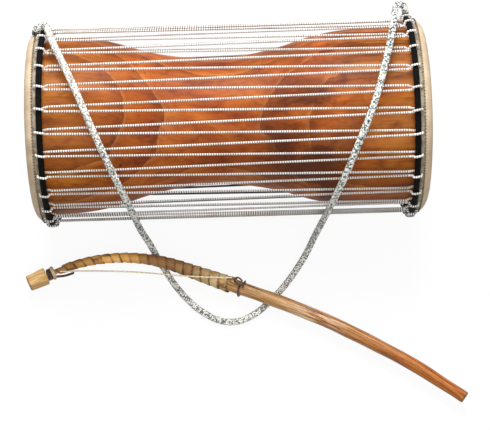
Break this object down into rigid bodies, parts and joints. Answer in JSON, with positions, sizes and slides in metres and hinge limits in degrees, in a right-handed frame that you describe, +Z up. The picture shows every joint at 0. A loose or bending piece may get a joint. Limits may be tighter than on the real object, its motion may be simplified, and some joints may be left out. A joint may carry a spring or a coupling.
{
  "type": "talking drum",
  "caption": "Hourglass talking drum with laced skin heads on wrapped hoops, tension cords from end to end, a braided shoulder strap and a bent, wound beater.",
  "frame": {"origin": "on the floor under the middle of the drum, which lies on its lacing loops", "axes": "+X along the drum's axis towards the right head, -Y to the front where the strap and the beater lie, +Z up"},
  "size_m": [0.4336, 0.3733, 0.2071],
  "materials": {
    "stained_wood": "satin stain",
    "skin": "matt rawhide",
    "skin_hem": "matt rawhide, stitched",
    "hoop_core": "plain",
    "black_wrapping": "matt cloth",
    "white_cord": "twisted cord",
    "flecked_rope": "braided, with dark and green flecks",
    "beater_wood": "smooth",
    "pale_wood": "carved",
    "dark_thong": "satin",
    "pale_rawhide": "matt",
    "brown_strip": "satin",
    "straw_string": "twisted"
  },
  "bodies": {
    "drum": {"shell": "stained_wood", "left_head": "skin", "right_head": "skin", "tension_cords": "white_cord", "strap": "flecked_rope"},
    "left_hoop": {"left_hoop_core": "hoop_core", "left_hoop_wrap": "black_wrapping", "left_head_hem": "skin_hem", "left_lacing_loops": "white_cord", "left_strap_knot": "flecked_rope"},
    "right_hoop": {"right_hoop_core": "hoop_core", "right_hoop_wrap": "black_wrapping", "right_head_hem": "skin_hem", "right_lacing_loops": "white_cord", "right_strap_knot": "flecked_rope"},
    "beater": {"beater_stick": "beater_wood", "beater_tip": "pale_wood", "beater_tip_binding": "dark_thong", "beater_tip_band": "pale_rawhide", "beater_wrap": "brown_strip", "beater_tie": "dark_thong", "beater_string": "straw_string"}
  },
  "joints": [
    {"name": "left_hoop_draw", "type": "slide", "parent": "drum", "child": "left_hoop", "axis": [1, 0, 0], "range_m": [0, 0.0015], "stiffness_N_per_m": 2500, "deforming": ["tension_cords", "strap"]},
    {"name": "right_hoop_draw", "type": "slide", "parent": "drum", "child": "right_hoop", "axis": [-1, 0, 0], "range_m": [0, 0.0015], "stiffness_N_per_m": 2500, "deforming": ["tension_cords", "strap"]},
    {"name": "beater_lift", "type": "slide", "parent": "drum", "child": "beater", "axis": [0, -0.6, 0.8], "range_m": [0, 0.25]}
  ],
  "couplings": [
    {"joint": "right_hoop_draw", "follows": "left_hoop_draw", "ratio": 1}
  ]
}
